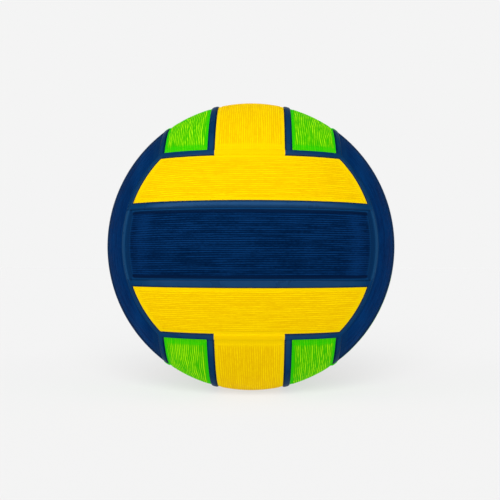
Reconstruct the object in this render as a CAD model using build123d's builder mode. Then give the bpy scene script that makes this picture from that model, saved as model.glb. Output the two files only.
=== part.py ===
from build123d import *
import os
from math import asin, cos, pi, sin, sqrt

# Water polo ball, millimetres. The origin is the centre of the ball, +Z is up and the
# photographed front faces -Y. Six groups of three parallel strips wrap the ball, each group
# turned a quarter turn from its neighbours, with raised rubber ribs along the seams.

# Ball and the layers of its wall
ball_diameter = 220.0
panel_thickness = 1.0
carcass_thickness = 0.5
winding_thickness = 0.3
bladder_thickness = 0.7

# Strips and seams, measured on the surface
middle_strip_width = 48.9
seam_width = 5.5

# Each strip has a raised field inside a sunken border, and each seam a rib with sloping flanks
border_depth = 0.3
side_border_width = 1.8
end_border_width = 3.4
field_slope_width = 0.8
rib_rise = 0.6
rib_flank_width = 1.0

# Flat that the inflated ball makes where it rests on the floor
foot_diameter = 7.6

# Valve, on the +Y axis
neck_diameter = 11.0
neck_sink = 0.35
flange_diameter = 28.0
flange_thickness = 1.6
boss_diameter = 12.0
boss_length = 11.0
plug_head_diameter = 8.0
plug_head_height = 2.4
plug_stem_diameter = 6.0
plug_stem_length = 12.0
plug_tip_diameter = 4.0
plug_tip_length = 2.0
plug_clearance = 0.05
needle_bore_diameter = 2.0
needle_bore_depth = 10.0
needle_mouth_diameter = 3.8
needle_mouth_depth = 1.2

# Room that a cutting solid has past the surface it cuts
cut_margin = 0.4

# Radii of the layers, from the outside in
ball_radius = ball_diameter / 2
rib_radius = ball_radius + rib_rise
border_radius = ball_radius - border_depth
carcass_radius = ball_radius - panel_thickness
winding_radius = carcass_radius - carcass_thickness
bladder_radius = winding_radius - winding_thickness
air_radius = bladder_radius - bladder_thickness

# Seam angles, in radians, at the surface. The seams between groups lie at 1/sqrt(3) of the radius,
# so that three of them meet in one point. A strip's sides are given by the angle from its group's
# middle line, and its ends by the angle from the group's outward direction.
seam_angle = seam_width / ball_radius
middle_angle = middle_strip_width / 2 / ball_radius
group_angle = asin(1 / sqrt(3))
outer_low = middle_angle + seam_angle
outer_high = group_angle - seam_angle / 2
strip_end = pi / 2 - group_angle - seam_angle / 2
bead_end = strip_end + seam_angle

# Each group has a plane: x along its strips, y across them, z outward
groups = {
    "front": Plane(origin=(0, 0, 0), x_dir=(1, 0, 0), z_dir=(0, -1, 0)),
    "back": Plane(origin=(0, 0, 0), x_dir=(-1, 0, 0), z_dir=(0, 1, 0)),
    "top": Plane(origin=(0, 0, 0), x_dir=(0, -1, 0), z_dir=(0, 0, 1)),
    "bottom": Plane(origin=(0, 0, 0), x_dir=(0, 1, 0), z_dir=(0, 0, -1)),
    "right": Plane(origin=(0, 0, 0), x_dir=(0, 0, -1), z_dir=(1, 0, 0)),
    "left": Plane(origin=(0, 0, 0), x_dir=(0, 0, 1), z_dir=(-1, 0, 0)),
}
strip_names = {
    "front": ("lower", "middle", "upper"),
    "back": ("lower", "middle", "upper"),
    "top": ("left", "middle", "right"),
    "bottom": ("left", "middle", "right"),
    "right": ("front", "middle", "back"),
    "left": ("front", "middle", "back"),
}
strip_spans = (
    (-outer_high, -outer_low),
    (-middle_angle, middle_angle),
    (outer_low, outer_high),
)

os.makedirs("parts", exist_ok=True)


def polar(radius, angle):
    return (radius * sin(angle), radius * cos(angle))


def on_side(radius, angle):
    """Point at a radius on the flat side wall that meets the surface at an angle."""
    offset = ball_radius * sin(angle)
    return (offset, sqrt(radius**2 - offset**2))


def on_end(radius, angle):
    """Point at a radius on the flat end wall that meets the surface at an angle."""
    height = ball_radius * cos(angle)
    return (sqrt(radius**2 - height**2), height)


def far_side(group):
    return Plane(origin=group.origin, x_dir=group.y_dir, z_dir=-group.x_dir)


def near_side(group):
    return Plane(origin=group.origin, x_dir=group.y_dir, z_dir=group.x_dir)


def edge_points(wall, rim, angle):
    """Top edge of a strip from its wall inward. A rim lists radii and distances in from the wall."""
    inward = [polar(radius, angle - inset / ball_radius) for radius, inset in rim[1:]]
    return [wall(rim[0][0], angle)] + inward


def draw_band(low, high, inner, rim):
    """Section across a strip, between its two side walls."""
    middle = (low + high) / 2
    right = [on_side(inner, high)] + edge_points(on_side, rim, high)
    left = [(-x, y) for x, y in [on_side(inner, -low)] + edge_points(on_side, rim, -low)]
    ThreePointArc(left[0], polar(inner, middle), right[0])
    Polyline(*right)
    ThreePointArc(right[-1], polar(rim[-1][0], middle), left[-1])
    Polyline(*reversed(left))


def draw_cap(rim):
    """Section along a strip, from its end wall up over the top and down the middle line."""
    edge = edge_points(on_end, rim, strip_end)
    Polyline((0, edge[0][1]), *edge, (edge[-1][0], roof_radius), (0, roof_radius), close=True)


def draw_bead(overlap, rim):
    """Section of the ring across the seam at a strip's ends."""
    outer_edge = edge_points(on_end, rim, bead_end + overlap)
    inner_edge = edge_points(on_end, [(radius, -inset) for radius, inset in rim], strip_end - overlap)
    Polyline((0, outer_edge[0][1]), *outer_edge, *reversed(inner_edge), (0, inner_edge[0][1]), close=True)


# Rims: a field's slope and a rib's flank both start on the border's floor. The ones that only cut
# are carried on past the surface.
roof_radius = rib_radius + cut_margin
slope_carry = field_slope_width * (1 + cut_margin / border_depth)
flank_carry = rib_flank_width * (roof_radius - border_radius) / (rib_radius - border_radius)
side_rim = [
    (border_radius, 0),
    (border_radius, side_border_width),
    (ball_radius, side_border_width + field_slope_width),
]
end_rim = [
    (border_radius, 0),
    (border_radius, end_border_width),
    (ball_radius + cut_margin, end_border_width + slope_carry),
]
bead_rim = [(border_radius, 0), (rib_radius, rib_flank_width)]
bead_side_rim = [(rib_radius, 0)]
mouth_rim = [(border_radius, 0), (roof_radius, -flank_carry)]
straight_rim = [(roof_radius, 0)]


def turn_strip(group, low, high, inner, rim, draw_end):
    """Strip turned about the group's cross line, kept where its end section covers it."""
    with BuildPart() as strip:
        with BuildSketch(far_side(group)):
            with BuildLine():
                draw_band(low, high, inner, rim)
            make_face()
        revolve(axis=Axis(group.origin, group.y_dir))
        with BuildSketch(near_side(group)):
            with BuildLine():
                draw_end()
            make_face()
        revolve(axis=Axis(group.origin, group.z_dir), mode=Mode.INTERSECT)
    return strip.part


# Cover panels. A middle strip meets two strips of its own colour, so its ends carry a bead that
# takes the place of the rib across the seam.
for group_name, group in groups.items():
    for strip_name, (low, high) in zip(strip_names[group_name], strip_spans):
        with BuildPart() as panel:
            add(turn_strip(group, low, high, carcass_radius, side_rim, lambda: draw_cap(end_rim)))
            if strip_name == "middle":
                add(turn_strip(group, low, high, carcass_radius, bead_side_rim, lambda: draw_bead(0, bead_rim)))
            if (group_name, strip_name) == ("back", "middle"):
                with BuildSketch(group):
                    Circle(neck_diameter / 2)
                extrude(amount=roof_radius, mode=Mode.SUBTRACT)
            if (group_name, strip_name) == ("bottom", "middle"):
                foot_height = sqrt(ball_radius**2 - (foot_diameter / 2) ** 2)
                split(bisect_by=group.offset(foot_height), keep=Keep.BOTTOM)
        panel.part.label = f"{group_name}_{strip_name}_panel"
        export_step(panel.part, f"parts/{panel.part.label}.step")

# Rib lattice along the seams: a shell with a room cut for each panel. The mouths of the rooms slope
# the ribs' flanks, and the rooms for the beads have straight walls.
with BuildPart() as seam_ribs:
    Sphere(rib_radius)
    Sphere(carcass_radius, mode=Mode.SUBTRACT)
    for group in groups.values():
        for low, high in strip_spans:
            room = turn_strip(group, low, high, winding_radius, mouth_rim, lambda: draw_cap(mouth_rim))
            add(room, mode=Mode.SUBTRACT)
        low, high = strip_spans[1]
        overlap = cut_margin / ball_radius
        room = turn_strip(
            group, low, high, winding_radius, straight_rim, lambda: draw_bead(overlap, straight_rim)
        )
        add(room, mode=Mode.SUBTRACT)
seam_ribs.part.label = "seam_ribs"
export_step(seam_ribs.part, "parts/seam_ribs.step")

# Closed shells under the cover, each with a hole for the valve's neck
shells = {
    "carcass": (carcass_radius, winding_radius),
    "winding": (winding_radius, bladder_radius),
    "bladder": (bladder_radius, air_radius),
}
for shell_name, (outer, inner) in shells.items():
    with BuildPart() as shell:
        Sphere(outer)
        Sphere(inner, mode=Mode.SUBTRACT)
        with BuildSketch(groups["back"]):
            Circle(neck_diameter / 2)
        extrude(amount=roof_radius, mode=Mode.SUBTRACT)
    shell.part.label = shell_name
    export_step(shell.part, f"parts/{shell_name}.step")

# Valve heights along +Y
neck_top = ball_radius - neck_sink
shoulder = neck_top - plug_head_height
stem_end = shoulder - plug_stem_length
bore_end = neck_top - needle_bore_depth

# Valve housing: a flange bonded inside the bladder, a boss below it and a neck up to the surface
flange_angle = asin(flange_diameter / 2 / air_radius)
neck_angle = asin(neck_diameter / 2 / air_radius)
under_radius = air_radius - flange_thickness
boss_angle = asin(boss_diameter / 2 / under_radius)
boss_end = under_radius - boss_length
head_seat_radius = plug_head_diameter / 2 + plug_clearance
stem_seat_radius = plug_stem_diameter / 2 + plug_clearance

with BuildPart() as valve_housing:
    with BuildSketch(Plane.XY):
        with BuildLine():
            Polyline(
                (stem_seat_radius, boss_end),
                (stem_seat_radius, shoulder),
                (head_seat_radius, shoulder),
                (head_seat_radius, neck_top),
                (neck_diameter / 2, neck_top),
                polar(air_radius, neck_angle),
            )
            ThreePointArc(
                polar(air_radius, neck_angle),
                polar(air_radius, (neck_angle + flange_angle) / 2),
                polar(air_radius, flange_angle),
            )
            Line(polar(air_radius, flange_angle), polar(under_radius, flange_angle))
            ThreePointArc(
                polar(under_radius, flange_angle),
                polar(under_radius, (boss_angle + flange_angle) / 2),
                polar(under_radius, boss_angle),
            )
            Polyline(
                polar(under_radius, boss_angle),
                (boss_diameter / 2, boss_end),
                (stem_seat_radius, boss_end),
            )
        make_face()
    revolve(axis=Axis.Y)
valve_housing.part.label = "valve_housing"
export_step(valve_housing.part, "parts/valve_housing.step")

# Valve plug: a headed stem with a tapered tip, bored for the needle from its mouth
with BuildPart() as valve_plug:
    with BuildSketch(Plane.XY):
        with BuildLine():
            Polyline(
                (0, stem_end - plug_tip_length),
                (plug_tip_diameter / 2, stem_end - plug_tip_length),
                (plug_stem_diameter / 2, stem_end),
                (plug_stem_diameter / 2, shoulder),
                (plug_head_diameter / 2, shoulder),
                (plug_head_diameter / 2, neck_top),
                (needle_mouth_diameter / 2, neck_top),
                (needle_bore_diameter / 2, neck_top - needle_mouth_depth),
                (needle_bore_diameter / 2, bore_end),
                (0, bore_end),
                close=True,
            )
        make_face()
    revolve(axis=Axis.Y)
valve_plug.part.label = "valve_plug"
export_step(valve_plug.part, "parts/valve_plug.step")
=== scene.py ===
import bpy
import numpy as np
from mathutils import Matrix, Vector


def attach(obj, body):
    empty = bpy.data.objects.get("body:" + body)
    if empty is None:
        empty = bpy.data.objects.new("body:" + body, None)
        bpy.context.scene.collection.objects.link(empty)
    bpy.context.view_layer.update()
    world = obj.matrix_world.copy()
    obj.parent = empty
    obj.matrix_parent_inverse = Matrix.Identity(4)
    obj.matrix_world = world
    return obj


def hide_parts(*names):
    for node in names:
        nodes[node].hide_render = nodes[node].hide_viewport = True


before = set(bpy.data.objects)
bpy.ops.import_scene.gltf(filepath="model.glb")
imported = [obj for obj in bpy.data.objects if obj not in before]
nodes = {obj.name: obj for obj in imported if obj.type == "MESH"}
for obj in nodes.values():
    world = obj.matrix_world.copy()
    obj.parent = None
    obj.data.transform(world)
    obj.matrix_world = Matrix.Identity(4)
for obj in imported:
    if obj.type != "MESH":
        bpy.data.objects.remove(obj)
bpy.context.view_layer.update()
scene = bpy.context.scene
print("frame:", len(nodes), "nodes")

# The cover, lengths in metres
cover = {
    # sizes of the solids
    "radius": 0.110,
    "underside": 0.109,
    "middleWidth": 0.0489,
    "seamWidth": 0.0055,
    "borderDepth": 0.0003,
    "sideBorder": 0.0018,
    "endBorder": 0.0034,
    "fieldSlope": 0.0008,
    "ribRise": 0.0006,
    "footWidth": 0.0076,
    "neckRadius": 0.0055,
    # the surfaces' own: field corners, the border round the valve, how round the ribs are, and where colours change
    "fieldCorner": 0.0022,
    "neckBorder": 0.0016,
    "ribRoundness": 4.0,
    "crestStart": 0.08,            # shares of half a seam; from here to crestFull a rib's painted edge shade, and a bead's border colour, ease into the crest's colour
    "crestFull": 0.55,
    "crestBesideNavy": 0.6,        # least tone of the crest, a painted highlight, beside a navy middle strip
    "fieldFade": 0.004,            # fade of the field's colour at a strip's ends
    "endFade": 0.2,                # least share of the field's colour there
    "grooveStart": -0.0012,        # where the groove's painted shade begins, counted inwards from the field's edge
    "grooveEnd": 0.0010,
    "grooveFade": 0.0005,
    "grooveAtEnds": 0.4,           # the painted groove shade's share at a strip's ends
    "paleMiddle": 0.016,           # pale patch near a strip's end, counted from the end border
    "paleWidth": 0.007,
}
ballRadius = cover["radius"]
seamAngle = cover["seamWidth"] / ballRadius
middleAngle = cover["middleWidth"] / 2 / ballRadius
groupAngle = np.arcsin(1 / np.sqrt(3))
outerLow = middleAngle + seamAngle
outerHigh = groupAngle - seamAngle / 2
stripEnd = np.pi / 2 - groupAngle - seamAngle / 2
beadEnd = stripEnd + seamAngle
footHeight = np.sqrt(ballRadius**2 - (cover["footWidth"] / 2) ** 2)

# Each group of strips: along the strips, across them, outward
groups = {
    "front": ((1, 0, 0), (0, 0, 1), (0, -1, 0)),
    "back": ((-1, 0, 0), (0, 0, 1), (0, 1, 0)),
    "top": ((0, -1, 0), (1, 0, 0), (0, 0, 1)),
    "bottom": ((0, 1, 0), (1, 0, 0), (0, 0, -1)),
    "right": ((0, 0, -1), (0, 1, 0), (1, 0, 0)),
    "left": ((0, 0, 1), (0, 1, 0), (-1, 0, 0)),
}
groups = {name: np.array(axes, float) for name, axes in groups.items()}
stripNames = {
    "front": ("lower", "middle", "upper"),
    "back": ("lower", "middle", "upper"),
    "top": ("left", "middle", "right"),
    "bottom": ("left", "middle", "right"),
    "right": ("front", "middle", "back"),
    "left": ("front", "middle", "back"),
}
stripSpans = ((-outerHigh, -outerLow), (-middleAngle, middleAngle), (outerLow, outerHigh))
outerColours = {
    "front": "yellow", "back": "yellow", "top": "green", "bottom": "green", "right": "navy", "left": "navy",
}
middleColours = {
    "front": "navyMiddle", "back": "navyMiddle", "top": "yellow", "bottom": "yellow",
    "right": "green", "left": "green",
}


def linear(red, green, blue):      # screen colour, 0 to 255, as the light values that a shader takes
    part = np.array([red, green, blue]) / 255
    light = np.where(part <= 0.04045, part / 12.92, ((part + 0.055) / 1.055) ** 2.4)
    return (*(float(v) for v in light), 1.0)


# Shader sums

class Wire:                        # a socket that can be added, multiplied and so on
    def __init__(self, tree, socket=None):
        self.tree = tree
        self.socket = socket

    def node(self, kind, settings=None, sockets=None, out=0):      # any node: settings first, then its sockets
        made = self.tree.nodes.new(kind)
        for name, value in (settings or {}).items():
            setattr(made, name, value)
        for name, value in (sockets or {}).items():
            if isinstance(value, Wire):
                self.tree.links.new(value.socket, made.inputs[name])
            else:
                made.inputs[name].default_value = value
        return Wire(self.tree, made.outputs[out])

    def attribute(self, name):     # a value that the mesh carries at its points
        return self.node("ShaderNodeAttribute", {"attribute_name": name}, out=2)

    def sum(self, operation, first, second):
        return self.node("ShaderNodeMath", {"operation": operation}, {0: first, 1: second})

    def __add__(self, other): return self.sum("ADD", self, other)
    def __radd__(self, other): return self.sum("ADD", other, self)
    def __sub__(self, other): return self.sum("SUBTRACT", self, other)
    def __rsub__(self, other): return self.sum("SUBTRACT", other, self)
    def __mul__(self, other): return self.sum("MULTIPLY", self, other)
    def __rmul__(self, other): return self.sum("MULTIPLY", other, self)

    def between(self, low, high, first=0.0, last=1.0):      # eased step from low to high
        return self.node("ShaderNodeMapRange", {"interpolation_type": "SMOOTHSTEP"}, {
            "Value": self, "From Min": low, "From Max": high, "To Min": first, "To Max": last})

    def mix(self, first, second):                            # two colours, by this value
        return self.node("ShaderNodeMix", {"data_type": "RGBA"}, {0: self, 6: first, 7: second}, 2)


def newMaterial(name, fixed):      # fixed holds what is the same all over the surface
    material = bpy.data.materials.new(name)
    material.use_nodes = True
    shader = material.node_tree.nodes["Principled BSDF"]
    for socket, value in fixed.items():
        shader.inputs[socket].default_value = value
    return material, shader, Wire(material.node_tree)


def feed(shader, values):          # links what changes over the surface
    for socket, value in values.items():
        value.tree.links.new(value.socket, shader.inputs[socket])


def grain(start, scale, detail=2.0):
    place = start.node("ShaderNodeTexCoord", out=3)      # Object coordinates
    return start.node("ShaderNodeTexNoise", None, {"Vector": place, "Scale": scale, "Detail": detail})


def grainBump(start, scale, depth):
    return start.node("ShaderNodeBump", None, {"Height": grain(start, scale), "Distance": depth, "Strength": 1.0})


# what the four cover rubbers share, lengths in metres
coverFinish = {
    "grainScale": 2600, "grainDepth": 0.00003,
    "blotchScale": 60, "blotchDetail": 4.0, "blotchRange": (0.3, 0.7),
    "crestHeight": 0.85,                            # ridge height from which the crest's colour is full
    "dashLength": 0.0026, "dashWidth": 0.0009,      # fine marks along the strips
    "beadGloss": 0.25,                              # taken off the beads' roughness
}
# the valley colour paints the shade between the ridges, the crest colour their lit tops; the groove colour is
# painted shade in the groove round the field
rubberLooks = {
    "yellow": {
        "crest": linear(255, 219, 4), "shadedValley": linear(236, 188, 2), "border": linear(247, 209, 2),
        "bead": linear(247, 203, 2), "grooveShade": linear(236, 188, 2), "grooveShadeShare": 0.0,
        "roughness": (0.55, 0.68), "specular": 0.002, "tint": (1.0, 0.85, 0.1, 1), "shine": 0.0,
        "blotch": 0.2, "dash": 0.6,
    },
    "green": {
        "crest": linear(166, 239, 14), "shadedValley": linear(44, 186, 2), "border": linear(46, 200, 5),
        "bead": linear(58, 204, 6), "grooveShade": linear(40, 183, 2), "grooveShadeShare": 0.0,
        "roughness": (0.55, 0.68), "specular": 0.002, "tint": (0.5, 1.0, 0.15, 1), "shine": 0.0,
        "blotch": 0.24, "dash": 0.3,
    },
    "navy": {
        "crest": linear(6, 61, 118), "shadedValley": linear(1, 35, 81), "border": linear(11, 53, 98),
        "bead": linear(10, 52, 90), "grooveShade": linear(2, 33, 76), "grooveShadeShare": 0.3,
        "roughness": (0.5, 0.62), "specular": 0.003, "tint": (0.02, 0.04, 0.08, 1), "shine": 0.3,
        "blotch": 0.48, "dash": 0.6,
    },
    "navyMiddle": {
        "crest": linear(9, 51, 101), "shadedValley": linear(1, 25, 58), "border": linear(13, 60, 106),
        # the bead colour here, lighter than the border, is a painted highlight on the end beads
        "bead": linear(27, 70, 110), "grooveShade": linear(6, 25, 57), "grooveShadeShare": 0.9,
        "roughness": (0.5, 0.62), "specular": 0.003, "tint": (0.02, 0.04, 0.08, 1), "shine": 0.3,
        "blotch": 0.48, "dash": 0.6,
    },
}
# the rib's edge colour is painted shade along its feet; its base colour, with paler blotches, paints a lighter
# crest as a painted highlight
ribLook = {
    "edge": linear(2, 32, 66), "base": linear(8, 56, 98), "blotchySheen": linear(14, 63, 106),
    "roughness": (0.26, 0.34), "specular": 0.003, "tint": (0.02, 0.04, 0.08, 1), "shine": 0.3,
    "coat": 0.17, "coatRoughness": 0.3, "coatRange": (0.2, 0.5),
    "blotchScale": 70, "blotchDetail": 4.0, "blotchRange": (0.3, 0.7), "blotchySheenRange": (0.3, 0.75),
    "grainScale": 2200, "grainDepth": 0.000005,
}


def coverMaterial(name, look):
    # colour: valley to crest by the ridge height, the valley's colour painted shade between the ridges and the
    # crest's their lit tops, with faint blotches and dashes; the border outside the field, then the painted shade
    # of the groove round the field and the bead's colour over it, on the navy middle strips a painted highlight
    material, shader, start = newMaterial(name, {
        "Specular IOR Level": look["specular"], "Specular Tint": look["tint"], "Metallic": look["shine"]})
    inStrip = start.node("ShaderNodeCombineXYZ", None, {
        0: start.attribute("along") * (1 / coverFinish["dashLength"]),
        1: start.attribute("across") * (1 / coverFinish["dashWidth"])})
    dashes = start.node("ShaderNodeTexNoise", None, {"Vector": inStrip, "Scale": 1.0, "Detail": 1.0})
    blotch = grain(start, coverFinish["blotchScale"], coverFinish["blotchDetail"])
    height = start.attribute("ridge") + look["blotch"] * (blotch - 0.5) + look["dash"] * (dashes - 0.5)
    ridged = height.between(0.0, coverFinish["crestHeight"]).mix(look["shadedValley"], look["crest"])
    bordered = start.attribute("field").mix(look["border"], ridged)
    grooveShaded = (start.attribute("grooveShade") * look["grooveShadeShare"]).mix(bordered, look["grooveShade"])
    bead = start.attribute("bead")
    roughness = blotch.between(*coverFinish["blotchRange"], *look["roughness"])
    feed(shader, {
        "Base Color": bead.mix(grooveShaded, look["bead"]),
        "Roughness": roughness - coverFinish["beadGloss"] * bead,
        "Normal": grainBump(start, coverFinish["grainScale"], coverFinish["grainDepth"]),
    })
    return material


def ribMaterial(name, look):
    # colour: the painted shade of the dark edge to the crest's painted highlight, which has paler blotches at
    # random; the glossy coat fades where the rib turns away
    material, shader, start = newMaterial(name, {
        "Specular IOR Level": look["specular"], "Specular Tint": look["tint"], "Metallic": look["shine"],
        "Coat Roughness": look["coatRoughness"]})
    blotch = grain(start, look["blotchScale"], look["blotchDetail"])
    blotchySheen = blotch.between(*look["blotchySheenRange"]).mix(look["base"], look["blotchySheen"])
    facing = start.node("ShaderNodeLayerWeight", out=1)
    feed(shader, {
        "Base Color": start.attribute("crest").mix(look["edge"], blotchySheen),
        "Roughness": blotch.between(*look["blotchRange"], *look["roughness"]),
        "Coat Weight": facing.between(*look["coatRange"], look["coat"], 0.0),
        "Normal": grainBump(start, look["grainScale"], look["grainDepth"]),
    })
    return material


coverMaterials = {colour: coverMaterial(colour + "Rubber", look) for colour, look in rubberLooks.items()}
navyRib = ribMaterial("navyRibRubber", ribLook)
print("materials:", len(coverMaterials) + 1)


# Surfaces

def ease(value):                   # 0 to 1 with flat ends: 3 t squared less 2 t cubed
    part = np.clip(value, 0, 1)
    return part * part * (3 - 2 * part)


def placeInGroup(toward, axes):    # angles of a direction: across the group's strips, and from the group's middle
    local = toward @ axes.T
    return np.arcsin(np.clip(local[..., 1], -1, 1)), np.arccos(np.clip(local[..., 2], -1, 1))


def stripDirections(along, across):      # unit vectors at these angles along and across a strip
    return np.stack([np.cos(across) * np.sin(along), np.sin(across), np.cos(across) * np.cos(along)], -1)


def stripReach(end, across):       # angle along a strip at which it is this far from the group's middle
    return np.arccos(np.cos(end) / np.cos(across))


def seamShare(toward):
    # place in a seam: the distance to the nearest panel as a share of half a seam, 0 at its edge, 1 in its middle
    nearest = np.full(toward.shape[:-1], 1.0)
    for axes in groups.values():
        crossing, polar = placeInGroup(toward, axes)
        past = np.maximum(polar - stripEnd, 0)
        for low, high in stripSpans:
            aside = np.maximum(np.maximum(low - crossing, crossing - high), 0)
            nearest = np.minimum(nearest, np.hypot(aside, past))
    return np.clip(nearest * ballRadius / (cover["seamWidth"] / 2), 0, 1)


def besideNavy(toward):            # least share of the crest's painted highlight on the half of a seam beside a navy middle strip, which keeps the painted edge shade off that side; 0 elsewhere
    beside = np.zeros(toward.shape[:-1])
    for name, axes in groups.items():
        if middleColours[name] == "navyMiddle":
            crossing, polar = placeInGroup(toward, axes)
            near = (abs(crossing) < middleAngle + seamAngle / 2) & (polar < stripEnd)
            beside[near] = cover["crestBesideNavy"]
    return beside


def crestTone(share):              # how much of the crest's colour shows, eased in from the edge, which on the ribs is painted shade
    return ease((share - cover["crestStart"]) / (cover["crestFull"] - cover["crestStart"]))


def ribHeight(share):              # bends up from the borders as 1 - x^n, x counted from the middle of the seam
    climb = cover["borderDepth"] + cover["ribRise"]
    return climb * (1 - (1 - share) ** cover["ribRoundness"]) - cover["borderDepth"]


ridgeWaves = {"count": 5, "spread": 2.2, "gap": (0.008, 0.02)}      # slow waves in which the ridges wander
ridgeStyles = {
    "yellow": {"pitch": 0.00152, "depth": 0.00008, "wander": 0.12, "waveLength": (0.03, 0.08),
               "strokes": (0.005, 0.02), "weakest": 0.2, "endTone": 0.0},
    "green": {"pitch": 0.00155, "depth": 0.00014, "wander": 0.2, "waveLength": (0.02, 0.05),
              "strokes": (0.0045, 0.014), "weakest": 0.15, "endTone": 0.0},
    "navy": {"pitch": 0.00150, "depth": 0.00009, "wander": 0.08, "waveLength": (0.05, 0.12),
             "strokes": (0.008, 0.035), "weakest": 0.2, "endTone": 0.26},
}


def ridgePattern(along, across, style, seed):
    # ridge height, 0 to 1: the ridge count across the strip wanders in slow waves, its sine squared makes the
    # ridges, and each ridge's strength changes along its length, in short strokes and in long ones
    draw = np.random.default_rng(seed)
    count = across / style["pitch"] + 0 * along
    for _ in range(ridgeWaves["count"]):
        turns = along / draw.uniform(*style["waveLength"]) + across / draw.uniform(*ridgeWaves["gap"])
        count = count + style["wander"] / ridgeWaves["spread"] * np.sin(2 * np.pi * (turns + draw.uniform()))
    ridge = np.floor(count).astype(int)
    ridge -= ridge.min()
    stroke = 0
    for length in style["strokes"]:
        step = along / length + draw.uniform(0, 1, ridge.max() + 1)[ridge]
        step -= step.min()
        cell = np.floor(step).astype(int)
        part = ease(step - cell)
        strength = draw.uniform(style["weakest"], 1, (ridge.max() + 1, cell.max() + 2))
        stroke = stroke + strength[ridge, cell] * (1 - part) + strength[ridge, cell + 1] * part
    return stroke / len(style["strokes"]) * np.sin(np.pi * count) ** 2


def stations(half, edge, coarse, fine, hub=0.0):
    # places along a strip as shares of half its length, the same on both sides of its middle: fine steps over the
    # hub and the last stretch, coarse ones between
    runs = [(0.0, hub, fine), (hub, half - edge, coarse), (half - edge, half, fine)]
    steps = [(a, b, max(int(round((b - a) / step)), 1)) for a, b, step in runs if b > a]
    side = np.concatenate([[0.0], *[np.linspace(a, b, count + 1)[1:] for a, b, count in steps]])
    return np.concatenate([-side[:0:-1], side]) / half


def slabFaces(rows, columns, underRows):
    # faces of a closed slab: its grid on top, a coarser one below, two walls along the rows and a face at each end
    top = np.arange(rows * columns).reshape(rows, columns)
    under = rows * columns + np.arange(underRows * columns).reshape(underRows, columns)

    def quads(a, b, c, d):
        return np.stack([a, b, c, d], -1).reshape(-1, 4)

    sheets = [
        quads(top[:-1, :-1], top[:-1, 1:], top[1:, 1:], top[1:, :-1]),
        quads(under[:-1, :-1], under[1:, :-1], under[1:, 1:], under[:-1, 1:]),
        quads(under[0, :-1], under[0, 1:], top[0, 1:], top[0, :-1]),
        quads(under[-1, 1:], under[-1, :-1], top[-1, :-1], top[-1, 1:]),
    ]
    ends = [
        np.concatenate([top[:, 0], under[::-1, 0]]),
        np.concatenate([top[::-1, -1], under[:, -1]]),
    ]
    return sheets, ends


sharpAngle = 58                    # degrees; edges that turn more stay sharp


def newPiece(name, points, faces, values, material, body, replaced):
    # a mesh of the points that faces use, with its values at the points, on its body
    used = np.unique(np.concatenate([np.ravel(face) for face in faces]))
    place = np.full(len(points), -1)
    place[used] = np.arange(len(used))
    polygons = []
    for face in faces:
        polygons += place[np.atleast_2d(face)].tolist()
    mesh = bpy.data.meshes.new(name)
    mesh.from_pydata(points[used].tolist(), [], polygons)
    for key, value in values.items():
        layer = mesh.attributes.new(key, "FLOAT", "POINT")
        layer.data.foreach_set("value", value[used].astype(np.float32))
    mesh.shade_smooth()
    mesh.set_sharp_from_angle(angle=np.radians(sharpAngle))
    mesh.materials.append(material)
    piece = bpy.data.objects.new(name, mesh)
    scene.collection.objects.link(piece)
    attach(piece, body)
    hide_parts(*replaced)
    return piece


# Cover panels

panelGrid = {
    "rowStep": 0.0002, "valveRowStep": 0.00025, "coarse": 0.0015, "fine": 0.0004, "edge": 0.0055, "underRows": 9,
    "hubReach": 3,                 # neck radii round the valve that get fine steps
    "neckEase": 2,                 # neck radii over which the grid eases back from the valve
    "footLeast": 0.5,              # keeps the foot's plane to the underside
}


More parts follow.
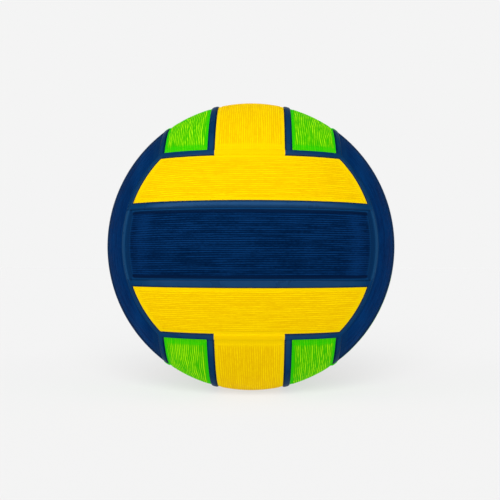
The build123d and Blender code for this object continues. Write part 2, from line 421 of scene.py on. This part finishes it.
def panelSurface(groupName, stripName, span, colour, seed):
    # a point's direction comes from its angle across and its share of the strip's length; its radius is the ball's,
    # less the border's depth outside the field, less the ridge's depth between ridges
    low, high = span
    axes = groups[groupName]
    isMiddle = stripName == "middle"
    hasValve = (groupName, stripName) == ("back", "middle")
    end = beadEnd if isMiddle else stripEnd
    edge = panelGrid["edge"] + (cover["seamWidth"] if isMiddle else 0)
    hub = panelGrid["hubReach"] * cover["neckRadius"] if hasValve else 0.0
    rowStep = panelGrid["valveRowStep" if hasValve else "rowStep"]
    rows = int(round((high - low) * ballRadius / rowStep)) | 1
    across = np.linspace(low, high, rows)[:, None]
    reach = stripReach(end, across)
    share = stations(end * ballRadius, edge, panelGrid["coarse"], panelGrid["fine"], hub)[None, :]
    along = share * reach
    across = across + 0 * along
    hole = None
    if hasValve:
        along, across, hole = openNeck(along, across)
    toward = stripDirections(along, across)
    polar = np.arccos(np.clip(toward[..., 2], -1, 1))

    fromSide = ballRadius * np.minimum(high - across, across - low) - cover["sideBorder"]
    fromEnd = ballRadius * (stripEnd - polar) - cover["endBorder"]
    if hasValve:
        fromEnd = np.minimum(fromEnd, ballRadius * polar - cover["neckRadius"] - cover["neckBorder"])
    bend = cover["fieldCorner"]
    inField = np.where((fromSide < bend) & (fromEnd < bend),
                       bend - np.hypot(bend - fromSide, bend - fromEnd), np.minimum(fromSide, fromEnd))
    field = ease(inField / cover["fieldSlope"])
    style = ridgeStyles["navy" if colour == "navyMiddle" else colour]
    lengthwise, crosswise = ballRadius * along * np.cos(across), ballRadius * across
    ridge = ridgePattern(lengthwise, crosswise, style, seed)
    height = -cover["borderDepth"] * (1 - field) - style["depth"] * field * (1 - ridge * field)

    toward = toward @ axes
    bead = 0 * polar
    if isMiddle:
        share = seamShare(toward)
        height = np.where(polar > stripEnd, ribHeight(share), height)
        bead = np.where(polar > stripEnd, crestTone(share), 0)
    radius = ballRadius + height
    if groupName == "bottom":
        radius = np.minimum(radius, footHeight / np.maximum(-toward[..., 2], panelGrid["footLeast"]))

    atEnd = fromSide > fromEnd
    faded = np.maximum(ease(inField / cover["fieldFade"]), cover["endFade"])
    fade = cover["grooveFade"]
    # the groove's painted shade: a band round the field, weaker at the strip's ends
    begun = np.where(atEnd, cover["grooveAtEnds"], ease((inField - cover["grooveStart"]) / fade))
    pale = np.exp(-((fromEnd - cover["paleMiddle"]) / cover["paleWidth"]) ** 2)
    values = {
        "field": np.where(atEnd, faded, field),
        "grooveShade": begun * (1 - ease((inField - cover["grooveEnd"]) / fade)),
        "bead": bead,
        "ridge": ridge + style["endTone"] * pale,
        "along": lengthwise + seed,      # the seed sets the strips' dashes apart
        "across": crosswise,
    }
    return toward, radius, values, hole


def openNeck(along, across):
    # a square of cells round the valve opens into a circle; the cells beside it ease back to the plain grid
    middleRow, middleColumn = along.shape[0] // 2, along.shape[1] // 2
    span = cover["neckRadius"] / ballRadius
    rowsIn = int(np.argmin(abs(across[:, middleColumn] - span))) - middleRow
    columnsIn = int(np.argmin(abs(along[middleRow] - span))) - middleColumn
    wide = along / along[:, middleColumn + columnsIn][:, None]
    tall = across / across[middleRow + rowsIn, middleColumn]
    ring = np.maximum(abs(wide), abs(tall))
    size = np.maximum(np.hypot(wide, tall), 1e-9)      # not 0 in the middle
    back = ease((ring - 1) / panelGrid["neckEase"])
    newAlong = along * back + span * wide * ring / size * (1 - back)
    newAcross = across * back + span * tall * ring / size * (1 - back)
    hole = (middleRow - rowsIn, middleRow + rowsIn, middleColumn - columnsIn, middleColumn + columnsIn)
    return newAlong, newAcross, hole


def makePanel(groupName, stripName, span, colour, seed):
    toward, radius, values, hole = panelSurface(groupName, stripName, span, colour, seed)
    rows, columns = radius.shape
    if hole:
        underRows = np.arange(rows)
    else:
        underRows = np.round(np.linspace(0, rows - 1, panelGrid["underRows"])).astype(int)
    top = toward * radius[..., None]
    under = toward[underRows] * cover["underside"]
    points = np.concatenate([top.reshape(-1, 3), under.reshape(-1, 3)])
    sheets, ends = slabFaces(rows, columns, len(underRows))
    if hole:
        sheets = openSheets(sheets, rows, columns, hole)
    spare = np.zeros(under.shape[0] * columns)
    values = {key: np.concatenate([value.ravel(), spare]) for key, value in values.items()}
    node = f"{groupName}_{stripName}_panel"
    name = groupName + stripName.capitalize() + "Cover"
    slot = colour.replace("Middle", "") + "_rubber"
    return newPiece(name, points, sheets + ends, values, coverMaterials[colour], "ball", [node])


def openSheets(sheets, rows, columns, hole):
    # leaves out the cells inside the hole, on top and below, and walls it round
    firstRow, lastRow, firstColumn, lastColumn = hole
    keep = np.ones((rows - 1, columns - 1), bool)
    keep[firstRow:lastRow, firstColumn:lastColumn] = False
    acrossUp = np.arange(firstRow, lastRow)
    alongUp = np.arange(firstColumn, lastColumn)
    loop = np.concatenate([
        firstRow * columns + alongUp,
        acrossUp * columns + lastColumn,
        lastRow * columns + alongUp[::-1] + 1,
        (acrossUp[::-1] + 1) * columns + firstColumn,
    ])
    after = np.roll(loop, -1)
    below = rows * columns
    wall = np.stack([loop, after, after + below, loop + below], -1)
    return [sheets[0][keep.ravel()], sheets[1][keep.ravel()], *sheets[2:], wall]


triangles = 0
for groupName in groups:
    for place, stripName in enumerate(stripNames[groupName]):
        colour = (middleColours if stripName == "middle" else outerColours)[groupName]
        seed = 10 * list(groups).index(groupName) + place
        panel = makePanel(groupName, stripName, stripSpans[place], colour, seed)
        triangles += sum(len(p.vertices) - 2 for p in panel.data.polygons)
print("cover panels: 18,", triangles, "triangles")


# Seam ribs

ribGrid = {"across": 15, "step": 0.0014, "underRows": 3, "cornerSteps": 12, "cornerStart": 0.004}


def ribSlab(toward):
    # a patch of the lattice: its directions lifted by the rib height, closed down to the carcass
    rows, columns = toward.shape[:2]
    underRows = np.round(np.linspace(0, rows - 1, ribGrid["underRows"])).astype(int)
    share = seamShare(toward)
    top = toward * (ballRadius + ribHeight(share))[..., None]
    under = toward[underRows] * cover["underside"]
    sheets, ends = slabFaces(rows, columns, len(underRows))
    # share of the crest's painted highlight; the rest shows the painted edge shade
    tone = np.maximum(crestTone(share), besideNavy(toward))
    crest = np.concatenate([tone.ravel(), np.zeros(under.size // 3)])
    return np.concatenate([top.reshape(-1, 3), under.reshape(-1, 3)]), sheets + ends, crest


def stripRib(axes, low, high):     # between two strips of a group, up to the group's end seams
    across = np.linspace(low, high, ribGrid["across"])[:, None]
    reach = stripReach(stripEnd, across)
    count = int(2 * stripEnd * ballRadius / ribGrid["step"])
    along = np.linspace(-1, 1, count)[None, :] * reach
    return stripDirections(along, across + 0 * along) @ axes


def endRib(axes, sideX, sideY):    # across a group's end seam, from the bead to the corner
    outward = np.cos(np.linspace(stripEnd, beadEnd, ribGrid["across"]))[None, :]
    count = int((outerHigh - middleAngle) * ballRadius / ribGrid["step"])
    crossing = np.sin(np.linspace(middleAngle, outerHigh, count))[:, None]
    if sideX * sideY < 0:
        outward = outward[:, ::-1]
    ahead = np.sqrt(1 - outward**2 - crossing**2)
    flat = 0 * ahead
    return np.stack([sideX * ahead, sideY * (crossing + flat), outward + flat], -1) @ axes


def cornerRib(signs):              # curved triangle where three seams meet, worked out from its first corner
    least = np.sin(outerHigh)
    turn = np.linspace(0, np.pi / 2, ribGrid["cornerSteps"])[:, None]
    slope = least * (np.cos(turn) + np.sin(turn))
    most = np.sqrt(slope**2 + 1 - 3 * least**2) - slope
    out = np.linspace(ribGrid["cornerStart"], 1, ribGrid["cornerSteps"])[None, :] * most
    second = least + out * np.cos(turn)
    third = least + out * np.sin(turn)
    first = np.sqrt(1 - second**2 - third**2)
    toward = np.stack([first, second, third], -1) * signs
    return toward if np.prod(signs) > 0 else toward[::-1]


patches = []
for axes in groups.values():
    patches += [stripRib(axes, middleAngle, outerLow), stripRib(axes, -outerLow, -middleAngle)]
    patches += [endRib(axes, sideX, sideY) for sideX in (-1, 1) for sideY in (-1, 1)]
patches += [cornerRib(np.array([x, y, z])) for x in (-1, 1) for y in (-1, 1) for z in (-1, 1)]
points, faces, crests, total = [], [], [], 0
for patch in patches:
    slabPoints, slabs, crest = ribSlab(patch)
    points.append(slabPoints)
    crests.append(crest)
    faces += [face + total for face in slabs]
    total += len(slabPoints)
crests = {"crest": np.concatenate(crests)}
newPiece("seamRibs", np.concatenate(points), faces, crests, navyRib, "ball", ["seam_ribs"])
print("seam ribs:", len(patches), "stretches,", total, "points")

# Hidden layers and the valve

innerFinish = {"specular": 0.15, "grainDetail": 3.0, "grainRange": (0.3, 0.7)}
innerLooks = {
    "bladder": {
        "low": (0.012, 0.012, 0.013, 1), "high": (0.03, 0.03, 0.03, 1), "scale": 300, "roughness": (0.35, 0.5)},
    "winding": {
        "low": (0.5, 0.48, 0.44, 1), "high": (0.8, 0.79, 0.75, 1), "scale": 900, "roughness": (0.6, 0.8)},
    "carcass": {
        "low": (0.03, 0.03, 0.034, 1), "high": (0.07, 0.07, 0.075, 1), "scale": 500, "roughness": (0.5, 0.7)},
    "valve_housing": {
        "low": (0.003, 0.011, 0.034, 1), "high": (0.006, 0.02, 0.055, 1), "scale": 700, "roughness": (0.4, 0.55)},
    "valve_plug": {
        "low": (0.010, 0.010, 0.011, 1), "high": (0.022, 0.022, 0.024, 1), "scale": 700, "roughness": (0.38, 0.5)},
}
innerMaterials = {}
for node, look in innerLooks.items():
    name = node.title().replace("_", "")
    innerMaterials[node], shader, start = newMaterial(name, {"Specular IOR Level": innerFinish["specular"]})
    blotch = grain(start, look["scale"], innerFinish["grainDetail"])
    feed(shader, {
        "Base Color": blotch.between(*innerFinish["grainRange"]).mix(look["low"], look["high"]),
        "Roughness": blotch.between(*innerFinish["grainRange"], *look["roughness"]),
    })
for node in ("bladder", "winding", "carcass"):
    nodes[node].data.materials.clear()
    nodes[node].data.materials.append(innerMaterials[node])

valve = {
    "neckTop": 0.10965, "airRadius": 0.1075, "clearance": 0.00005,
    "flangeRadius": 0.014, "flangeThickness": 0.0016, "flangeSteps": 8, "bossRadius": 0.006, "bossLength": 0.011,
    "headRadius": 0.004, "headHeight": 0.0024, "stemRadius": 0.003, "stemLength": 0.012,
    "tipRadius": 0.002, "tipLength": 0.002,
    "boreRadius": 0.001, "boreDepth": 0.010, "mouthRadius": 0.0019, "mouthDepth": 0.0012,
    "rounding": 0.0005, "softEdge": 0.0002, "cornerSteps": 6, "turns": 72,
}


def turnedProfile(corners, closed):
    # line through the corners, each (radius, height, rounding): a corner bends over as a parabola
    corners = np.array(corners, float)
    places, cuts = corners[:, :2], corners[:, 2]
    line = []
    for k in range(len(corners)):
        before, here, after = places[k - 1], places[k], places[(k + 1) % len(places)]
        if cuts[k] == 0 or (not closed and k in (0, len(corners) - 1)):
            line.append(here[None])
            continue
        start = here + cuts[k] * (before - here) / np.linalg.norm(before - here)
        end = here + cuts[k] * (after - here) / np.linalg.norm(after - here)
        t = np.linspace(0, 1, valve["cornerSteps"])[:, None]
        line.append((1 - t) ** 2 * start + 2 * t * (1 - t) * here + t**2 * end)
    return np.concatenate(line)


def turnedPiece(name, corners, closed, body, node):
    # the profile turned round the valve's axis; an open profile is closed by a flat face at each end
    radius, height = turnedProfile(corners, closed).T[..., None]
    angle = np.linspace(0, 2 * np.pi, valve["turns"], endpoint=False)
    points = np.stack([radius * np.cos(angle), height + 0 * angle, radius * np.sin(angle)], -1).reshape(-1, 3)
    index = np.arange(len(points)).reshape(-1, valve["turns"])
    caps = [] if closed else [index[0, ::-1], index[-1]]
    if closed:
        index = np.concatenate([index, index[:1]])
    ahead = np.roll(index, -1, axis=1)
    quads = np.stack([index[:-1], ahead[:-1], ahead[1:], index[1:]], -1).reshape(-1, 4)
    return newPiece(name, points, [quads, *caps], {}, innerMaterials[node], body, [node])


shoulder = valve["neckTop"] - valve["headHeight"]
stemEnd = shoulder - valve["stemLength"]
boreEnd = valve["neckTop"] - valve["boreDepth"]
underFlange = valve["airRadius"] - valve["flangeThickness"]
headSeat = valve["headRadius"] + valve["clearance"]
stemSeat = valve["stemRadius"] + valve["clearance"]
soft = valve["softEdge"]


def onSphere(radius, aside):       # height at which a sphere is this far from the axis
    return np.sqrt(radius**2 - aside**2)


flangeSpan = np.linspace(cover["neckRadius"], valve["flangeRadius"], valve["flangeSteps"])
underRim = valve["flangeRadius"] * underFlange / valve["airRadius"]
underSpan = np.linspace(underRim, valve["bossRadius"], valve["flangeSteps"])
housing = [
    (stemSeat, underFlange - valve["bossLength"], 0), (stemSeat, shoulder, 0), (headSeat, shoulder, 0),
    (headSeat, valve["neckTop"], soft), (cover["neckRadius"], valve["neckTop"], soft),
    *[(aside, onSphere(valve["airRadius"], aside), 0) for aside in flangeSpan],
    *[(aside, onSphere(underFlange, aside), 0) for aside in underSpan],
    (valve["bossRadius"], underFlange - valve["bossLength"], valve["rounding"]),
]
plug = [
    (valve["boreRadius"], boreEnd, 0), (valve["boreRadius"], valve["neckTop"] - valve["mouthDepth"], soft),
    (valve["mouthRadius"], valve["neckTop"], soft), (valve["headRadius"], valve["neckTop"], valve["rounding"]),
    (valve["headRadius"], shoulder, soft), (valve["stemRadius"], shoulder, 0),
    (valve["stemRadius"], stemEnd, valve["rounding"]), (valve["tipRadius"], stemEnd - valve["tipLength"], 0),
]
turnedPiece("valveHousing", housing, True, "ball", "valve_housing")
turnedPiece("valvePlug", plug, False, "valve_plug", "valve_plug")
print("inner nodes:", len(innerLooks))

# Floor, light and camera

# most of the floor's tone is its own glow, so that shadows stay faint; the low lamp in front lights the floor alone
stageLook = {"floorSize": 40.0, "tone": 0.905, "albedo": 0.12, "lit": 0.94, "lampShare": 0.15}
lamp = {"elevation": 21.0, "azimuth": -1.0, "spread": 38.0}
edge = stageLook["floorSize"] / 2
floorMesh = bpy.data.meshes.new("floor")
floorCorners = ((-edge, -edge), (edge, -edge), (edge, edge), (-edge, edge))
floorMesh.from_pydata([(x, y, -footHeight) for x, y in floorCorners], [], [(0, 1, 2, 3)])
glow = stageLook["tone"] - stageLook["lit"] * stageLook["albedo"] - stageLook["lampShare"]
floorMaterial = newMaterial("paleFloor", {
    "Base Color": (*[stageLook["albedo"]] * 3, 1), "Roughness": 1.0, "Specular IOR Level": 0.0,
    "Emission Color": (glow, glow, glow, 1), "Emission Strength": 1.0})[0]
floorMesh.materials.append(floorMaterial)
floor = bpy.data.objects.new("floor", floorMesh)
scene.collection.objects.link(floor)

lampData = bpy.data.lights.new("lowLamp", "SUN")
lampData.angle = np.radians(lamp["spread"])
lampData.energy = np.pi * stageLook["lampShare"] / stageLook["albedo"] / np.sin(np.radians(lamp["elevation"]))
lampObject = bpy.data.objects.new("lowLamp", lampData)
lampObject.rotation_euler = np.radians((90 - lamp["elevation"], 0, lamp["azimuth"]))
scene.collection.objects.link(lampObject)
floorOnly = bpy.data.collections.new("floorOnly")
floorOnly.objects.link(floor)
lampObject.light_linking.receiver_collection = floorOnly

# soft light: a plain bright backdrop behind the ball, a long soft box in front of it and above, a lower one at each
# front side, some light overhead, dim elsewhere
studio = {
    "backdrop": 0.905, "dim": 0.47, "box": 3.85, "left": 2.8, "right": 1.35, "overhead": 0.9,
    # where each begins or ends, as steps of the direction's parts: up, back (front is negative) and to the side
    "backdropFrom": (0.8, 0.9), "horizon": (0.18, 0.3),
    "boxFrom": (0.42, 0.5), "boxTo": (0.6, 0.7), "boxFront": (-0.45, -0.2),
    "lowFrom": (0.12, 0.22), "lowTo": (0.42, 0.55), "lowFront": (-0.1, 0.1),
    "leftTo": (-0.85, -0.65), "rightFrom": (0.65, 0.85),
    "overheadFrom": (0.7, 0.85), "overheadFront": (-0.1, 0.25),
}
world = bpy.data.worlds.new("studio")
scene.world = world
world.use_nodes = True
sky = Wire(world.node_tree)
direction = sky.node("ShaderNodeTexCoord", out=0)
split = sky.node("ShaderNodeSeparateXYZ", None, {0: direction})
aside, back, upward = (Wire(world.node_tree, socket) for socket in split.socket.node.outputs)
boxHere = upward.between(*studio["boxFrom"]) * upward.between(*studio["boxTo"], 1.0, 0.0)
boxHere = boxHere * back.between(*studio["boxFront"], 1.0, 0.0)
low = upward.between(*studio["lowFrom"]) * upward.between(*studio["lowTo"], 1.0, 0.0)
low = low * back.between(*studio["lowFront"], 1.0, 0.0)
away = back.between(*studio["backdropFrom"], 1.0, 0.0) * upward.between(*studio["horizon"])
more = {name: studio[name] - studio["dim"] for name in ("backdrop", "box", "left", "right", "overhead")}
light = studio["backdrop"] - away * more["backdrop"]      # dim neither behind the ball nor near the horizon
light = light + boxHere * more["box"]
light = light + low * aside.between(*studio["leftTo"], more["left"], 0.0)
light = light + low * aside.between(*studio["rightFrom"], 0.0, more["right"])
overhead = back.between(*studio["overheadFront"], more["overhead"], 0.0)
light = light + upward.between(*studio["overheadFrom"]) * overhead
background = world.node_tree.nodes["Background"]
world.node_tree.links.new(light.socket, background.inputs["Strength"])
background.inputs["Color"].default_value = (1, 1, 1, 1)

view = {
    "distance": 0.762, "elevation": -0.98, "azimuth": 0.76, "roll": 0.14,
    "focalPixels": 983.2, "frame": 500, "centre": (251.15, 246.73), "sensor": 36.0,
}
cameraData = bpy.data.cameras.new("camera")
cameraData.sensor_width = view["sensor"]
cameraData.lens = view["focalPixels"] / view["frame"] * view["sensor"]
cameraData.shift_x = (view["frame"] / 2 - view["centre"][0]) / view["frame"]
cameraData.shift_y = (view["centre"][1] - view["frame"] / 2) / view["frame"]
camera = bpy.data.objects.new("camera", cameraData)
scene.collection.objects.link(camera)
elevation, azimuth = np.radians(view["elevation"]), np.radians(view["azimuth"])
camera.location = view["distance"] * Vector((
    np.cos(elevation) * np.sin(azimuth), -np.cos(elevation) * np.cos(azimuth), np.sin(elevation)))
facing = (-camera.location).to_track_quat("-Z", "Y")
camera.rotation_euler = (facing.to_matrix() @ Matrix.Rotation(np.radians(view["roll"]), 3, "Z")).to_euler()
scene.camera = camera
scene.view_settings.view_transform = "Standard"
print("stage: floor, light and camera")
